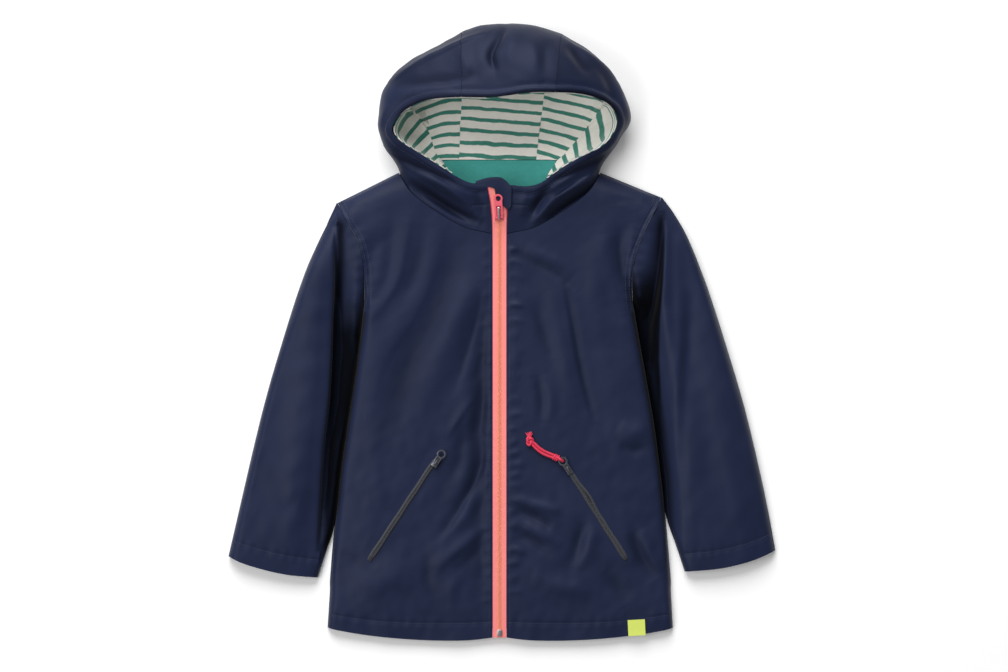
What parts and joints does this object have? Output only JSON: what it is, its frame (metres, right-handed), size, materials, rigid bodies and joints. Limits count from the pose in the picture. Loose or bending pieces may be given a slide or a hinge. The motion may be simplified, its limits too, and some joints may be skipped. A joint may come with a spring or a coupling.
{
  "type": "kids raincoat",
  "caption": "Zip-front hooded raincoat for a small child, zipped up and laid flat on its back, with long sleeves, slanted zip pockets and a striped hood lining.",
  "frame": {"origin": "on the surface that the coat lies on, under the middle of its outline", "axes": "+X to the wearer's left, +Y from the hem to the top of the hood, +Z out of the coat's front, away from the surface"},
  "size_m": [0.6859, 0.7727, 0.106],
  "materials": {
    "coated_cotton": "navy cotton with a matt polyurethane coat, semi-matt with a soft sheen",
    "coral_zip_tape": "coral woven tape with a sewn coil",
    "coral_enamel": "coral enamel on die-cast zinc",
    "silver_metal": "bright plated metal",
    "black_zip_tape": "black reverse coil tape",
    "black_metal": "black nickel, satin",
    "striped_jersey": "cream cotton jersey with narrow green stripes",
    "teal_jersey": "plain teal cotton jersey",
    "red_cord": "braided red cord",
    "label_ribbon": "plain yellow-green woven ribbon"
  },
  "bodies": {
    "garment": {"back": "coated_cotton", "chin_guard": "coated_cotton", "front_left": "coated_cotton", "front_right": "coated_cotton", "hem_label": "label_ribbon", "hood_centre": "coated_cotton", "hood_facing_left": "striped_jersey", "hood_facing_right": "striped_jersey", "hood_left": "coated_cotton", "hood_lining_centre": "striped_jersey", "hood_lining_left": "striped_jersey", "hood_lining_right": "striped_jersey", "hood_right": "coated_cotton", "neck_facing": "teal_jersey", "pocket_bridge_left": "black_metal", "pocket_bridge_right": "black_metal", "pocket_slider_left": "black_metal", "pocket_slider_right": "black_metal", "pocket_zip_left": "black_zip_tape", "pocket_zip_right": "black_zip_tape", "sleeve_left": "coated_cotton", "sleeve_right": "coated_cotton", "zip_box": "silver_metal", "zip_bridge": "silver_metal", "zip_slider": "coral_enamel", "zip_tape_left": "coral_zip_tape", "zip_tape_right": "coral_zip_tape"},
    "zip_pull": {"zip_pull": "coral_enamel"},
    "pocket_pull_right": {"pocket_pull_right": "black_metal"},
    "pocket_pull_left": {"pocket_pull_left": "black_metal", "pull_cord_upper": "red_cord", "pull_cord_lower": "red_cord", "cord_whipping": "red_cord", "cord_knot": "red_cord"}
  },
  "joints": [
    {"name": "zip_pull_hinge", "type": "hinge", "parent": "garment", "child": "zip_pull", "pos_m": [-0.00047, 0.14178, 0.02933], "axis": [0.9986, 0.0529, 0], "range_deg": [0, 165]},
    {"name": "pocket_pull_right_hinge", "type": "hinge", "parent": "garment", "child": "pocket_pull_right", "pos_m": [-0.07873, -0.16298, 0.0257], "axis": [0.8356, -0.5494, 0], "range_deg": [0, 165]},
    {"name": "pocket_pull_left_hinge", "type": "hinge", "parent": "garment", "child": "pocket_pull_left", "pos_m": [0.08542, -0.17206, 0.02558], "axis": [0.8421, 0.5393, 0], "range_deg": [0, 165]}
  ]
}
